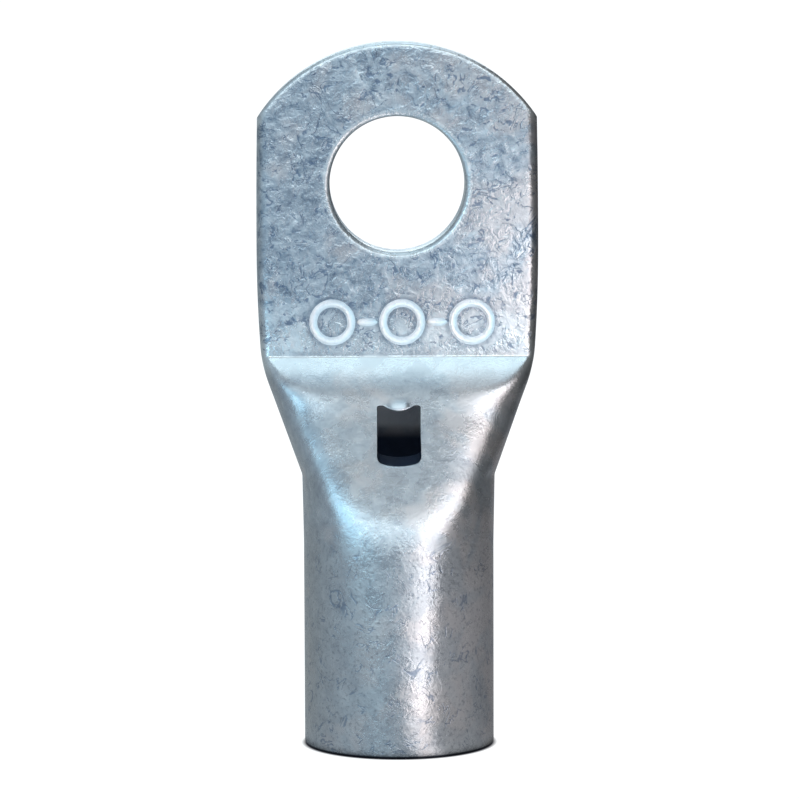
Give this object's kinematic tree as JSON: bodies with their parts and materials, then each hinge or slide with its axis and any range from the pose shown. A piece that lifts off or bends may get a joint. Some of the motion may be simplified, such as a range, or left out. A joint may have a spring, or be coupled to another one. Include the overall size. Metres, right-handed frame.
{
  "type": "compression lug",
  "caption": "Tubular cable lug with a round crimp barrel, a sight window and a flat tongue with a stud hole.",
  "frame": {"origin": "centre of the barrel's mouth, on the plane of its rim", "axes": "+Z along the barrel's axis from the mouth towards the tongue, -Y is the front with the sight window, +X is to the right seen from the front"},
  "size_m": [0.0134, 0.009, 0.0333],
  "materials": {
    "tinned_copper": "dull tin plating over copper"
  },
  "bodies": {
    "root": {"lug_body": "tinned_copper"}
  },
  "joints": []
}
